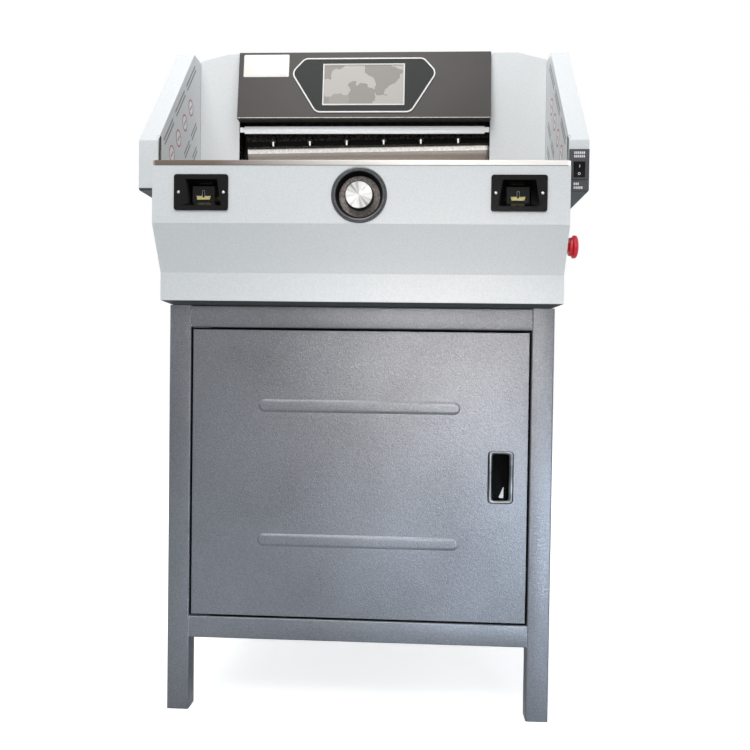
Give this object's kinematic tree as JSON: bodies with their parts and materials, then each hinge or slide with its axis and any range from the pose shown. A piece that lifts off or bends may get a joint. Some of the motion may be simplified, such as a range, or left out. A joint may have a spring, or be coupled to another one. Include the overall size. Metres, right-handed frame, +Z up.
{
  "type": "automatic paper guillotine",
  "caption": "Floor-standing automatic paper guillotine on a cabinet stand, with a swing-cut knife, paper clamp, backgauge, touch screen, guarded table, start buttons and a hinged door",
  "frame": {"origin": "on the floor under the middle of the bounding box", "axes": "+X is right seen from the front, the front faces -Y, +Z is up"},
  "size_m": [0.79, 0.842, 1.283],
  "materials": {
    "body_paint": "light grey powder coat",
    "stand_paint": "dark grey metallic hammer powder coat",
    "head_paint": "dark warm grey powder coat",
    "ground_steel": "ground bare steel",
    "cast_iron": "rough cast iron",
    "bright_bar": "satin aluminium",
    "knife_steel": "ground tool steel",
    "chrome": "satin chrome",
    "black_plastic": "moulded black plastic",
    "grey_plastic": "dark grey paint or plastic",
    "screen_glass": "touch screen under a clear film",
    "stop_red": "red plastic",
    "stop_yellow": "yellow plastic",
    "stick_plastic": "red plastic cutting stick"
  },
  "bodies": {
    "machine": {"front_fascia": "body_paint", "left_body_cover": "body_paint", "right_body_cover": "body_paint", "rear_body_cover": "body_paint", "rear_trough": "body_paint", "rear_hood": "body_paint", "left_column_cover": "body_paint", "right_column_cover": "body_paint", "head_top_cover": "body_paint", "left_guard_wing": "body_paint", "right_guard_wing": "body_paint", "stand_frame": "stand_paint", "cabinet_left_panel": "stand_paint", "cabinet_right_panel": "stand_paint", "cabinet_back_panel": "stand_paint", "cabinet_floor": "stand_paint", "head_cover": "head_paint", "control_panel": "head_paint", "table": "ground_steel", "backgauge_rail": "ground_steel", "door_hinge_lower": "ground_steel", "door_hinge_upper": "ground_steel", "left_side_frame": "cast_iron", "right_side_frame": "cast_iron", "head_beam": "cast_iron", "knife_guide_plate": "cast_iron", "main_motor": "cast_iron", "backgauge_motor": "cast_iron", "front_bar": "bright_bar", "door_catch": "black_plastic", "light_curtain_left": "black_plastic", "light_curtain_right": "black_plastic", "knob_bezel": "black_plastic", "start_plate_left": "black_plastic", "start_plate_right": "black_plastic", "power_inlet": "black_plastic", "clamp_motor": "black_plastic", "machine_base": "grey_plastic", "switch_panel": "grey_plastic", "screen": "screen_glass", "estop_collar": "stop_yellow", "cutting_stick": "stick_plastic"},
    "door_leaf": {"door": "stand_paint", "door_handle": "chrome"},
    "knife_slider": {"knife_guide_block": "ground_steel"},
    "knife_beam": {"knife_carrier": "cast_iron", "knife": "knife_steel"},
    "knife_rod": {"pull_rod": "cast_iron"},
    "crank": {"crank_disc": "cast_iron"},
    "paper_clamp": {"clamp_beam": "cast_iron"},
    "clamp_spindle": {"clamp_screw": "ground_steel"},
    "gauge": {"backgauge": "ground_steel"},
    "gauge_spindle": {"backgauge_screw": "ground_steel"},
    "knob": {"selector_knob": "black_plastic"},
    "start_key_left": {"start_button_left": "black_plastic"},
    "start_key_right": {"start_button_right": "black_plastic"},
    "stop_stem": {"estop_stem": "stop_red"},
    "stop_head": {"estop_head": "stop_red"},
    "power_key": {"power_rocker": "black_plastic"}
  },
  "joints": [
    {"name": "door_hinge", "type": "hinge", "parent": "machine", "child": "door_leaf", "pos_m": [-0.296, -0.3404, 0.437], "axis": [0, 0, -1], "range_deg": [0, 110]},
    {"name": "knife_slide", "type": "slide", "parent": "machine", "child": "knife_slider", "axis": [-0.3655, 0, -0.9308], "range_m": [0, 0.08208]},
    {"name": "knife_swing", "type": "hinge", "parent": "knife_slider", "child": "knife_beam", "pos_m": [-0.2, -0.083, 1.25], "axis": [0, 1, 0], "range_deg": [0, 0.98]},
    {"name": "rod_swing", "type": "hinge", "parent": "knife_beam", "child": "knife_rod", "pos_m": [0.29878, -0.0617, 1.20844], "axis": [0, 1, 0], "range_deg": [-6.3, 0]},
    {"name": "crank_turn", "type": "hinge", "parent": "machine", "child": "crank", "pos_m": [0.29878, -0.0557, 0.82672], "axis": [0, 1, 0], "range_deg": [0, 181]},
    {"name": "clamp_slide", "type": "slide", "parent": "machine", "child": "paper_clamp", "axis": [0, 0, -1], "range_m": [0, 0.0737]},
    {"name": "clamp_screw_turn", "type": "hinge", "parent": "machine", "child": "clamp_spindle", "pos_m": [-0.0155, -0.0384, 1.066], "axis": [0, 0, 1], "range_deg": [0, 2660]},
    {"name": "backgauge_slide", "type": "slide", "parent": "machine", "child": "gauge", "axis": [0, 1, 0], "range_m": [-0.212, 0.16]},
    {"name": "backgauge_screw_turn", "type": "hinge", "parent": "machine", "child": "gauge_spindle", "pos_m": [-0.0155, -0.019, 0.925], "axis": [0, 1, 0], "range_deg": [-7640, 5770]},
    {"name": "knob_turn", "type": "hinge", "parent": "machine", "child": "knob", "pos_m": [0.0008, -0.418, 0.927], "axis": [0, 1, 0], "continuous": true},
    {"name": "start_left_press", "type": "slide", "parent": "machine", "child": "start_key_left", "axis": [0, 1, 0], "range_m": [0, 0.003], "stiffness_N_per_m": 400},
    {"name": "start_right_press", "type": "slide", "parent": "machine", "child": "start_key_right", "axis": [0, 1, 0], "range_m": [0, 0.003], "stiffness_N_per_m": 400},
    {"name": "estop_press", "type": "slide", "parent": "machine", "child": "stop_stem", "axis": [-1, 0, 0], "range_m": [0, 0.004]},
    {"name": "estop_twist", "type": "hinge", "parent": "stop_stem", "child": "stop_head", "pos_m": [0.358, -0.364, 0.848], "axis": [1, 0, 0], "range_deg": [0, 30], "stiffness_Nm_per_rad": 0.05},
    {"name": "power_switch", "type": "hinge", "parent": "machine", "child": "power_key", "pos_m": [0.37775, -0.3823, 0.978], "axis": [-1, 0, 0], "range_deg": [0, 20]}
  ],
  "couplings": [
    {"joint": "knife_swing", "follows": "knife_slide", "rad_per_m": 0.20626},
    {"joint": "rod_swing", "follows": "knife_slide", "rad_per_m": -1.3105},
    {"joint": "crank_turn", "follows": "knife_slide", "rad_per_m": 38.275},
    {"joint": "clamp_screw_turn", "follows": "clamp_slide", "rad_per_m": 628.32},
    {"joint": "backgauge_screw_turn", "follows": "backgauge_slide", "rad_per_m": 628.32}
  ]
}
